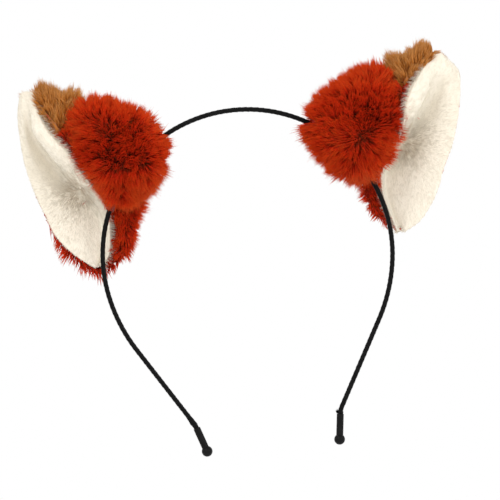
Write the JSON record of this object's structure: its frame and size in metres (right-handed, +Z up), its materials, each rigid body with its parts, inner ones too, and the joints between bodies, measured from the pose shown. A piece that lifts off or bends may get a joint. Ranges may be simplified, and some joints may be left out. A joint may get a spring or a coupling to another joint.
{
  "type": "animal ears headband",
  "caption": "Thin ribbon-wrapped wire hoop headband with two plush fox ears: rust long-pile fur, brown tips and a scooped cream lining.",
  "frame": {"origin": "centre of the hoop's circle, where the wearer's head sits", "axes": "+Z up to the crown of the hoop, -Y the front that the ears face, +X the viewer's right; the hoop's centreline lies in the XZ plane"},
  "size_m": [0.1986, 0.0447, 0.1724],
  "materials": {
    "spring_wire": "plain drawn spring-steel wire",
    "satin_ribbon": "black satin ribbon wound in a tight helix, soft sheen",
    "end_rubber": "black moulded rubber, half gloss",
    "channel_felt": "thin rust felt",
    "sewing_thread": "twisted polyester thread",
    "rust_fur": "long-pile faux fur, rust orange, brushed in tufts",
    "brown_fur": "long-pile faux fur, caramel brown",
    "cream_plush": "short-pile cream plush",
    "interfacing": "stiff non-woven interfacing",
    "polyester_fill": "loose polyester fibre fill"
  },
  "bodies": {
    "crown": {"wire_core_crown": "spring_wire", "ribbon_wrap_crown": "satin_ribbon"},
    "arm_left": {"wire_core_left": "spring_wire", "ribbon_wrap_left": "satin_ribbon", "end_sleeve_left": "end_rubber", "ball_tip_left": "end_rubber"},
    "arm_right": {"wire_core_right": "spring_wire", "ribbon_wrap_right": "satin_ribbon", "end_sleeve_right": "end_rubber", "ball_tip_right": "end_rubber"},
    "carrier_left": {"felt_channel_left": "channel_felt", "anchor_stitches_left": "sewing_thread"},
    "carrier_right": {"felt_channel_right": "channel_felt", "anchor_stitches_right": "sewing_thread"},
    "ear_left": {"front_fur_lobe_left": "rust_fur", "back_fur_panel_left": "rust_fur", "tip_fur_patch_left": "brown_fur", "lining_left": "cream_plush", "stiffener_left": "interfacing", "stuffing_left": "polyester_fill", "seam_thread_left": "sewing_thread"},
    "ear_right": {"front_fur_lobe_right": "rust_fur", "back_fur_panel_right": "rust_fur", "tip_fur_patch_right": "brown_fur", "lining_right": "cream_plush", "stiffener_right": "interfacing", "stuffing_right": "polyester_fill", "seam_thread_right": "sewing_thread"}
  },
  "joints": [
    {"name": "flex_left", "type": "hinge", "parent": "crown", "child": "arm_left", "pos_m": [-0.00671, 0, 0.06385], "axis": [0, 1, 0], "range_deg": [-3, 9], "stiffness_Nm_per_rad": 1.5},
    {"name": "flex_right", "type": "hinge", "parent": "crown", "child": "arm_right", "pos_m": [0.00671, 0, 0.06385], "axis": [0, -1, 0], "range_deg": [-3, 9], "stiffness_Nm_per_rad": 1.5},
    {"name": "ear_slide_left", "type": "hinge", "parent": "arm_left", "child": "carrier_left", "pos_m": [0, 0, 0], "axis": [0, 1, 0], "range_deg": [-8, 8]},
    {"name": "ear_slide_right", "type": "hinge", "parent": "arm_right", "child": "carrier_right", "pos_m": [0, 0, 0], "axis": [0, -1, 0], "range_deg": [-8, 8]},
    {"name": "ear_tilt_left", "type": "hinge", "parent": "carrier_left", "child": "ear_left", "pos_m": [-0.04725, 0, 0.04107], "axis": [0.6561, 0, 0.7547], "range_deg": [-10, 20]},
    {"name": "ear_tilt_right", "type": "hinge", "parent": "carrier_right", "child": "ear_right", "pos_m": [0.04725, 0, 0.04107], "axis": [0.6561, 0, -0.7547], "range_deg": [-10, 20]}
  ]
}
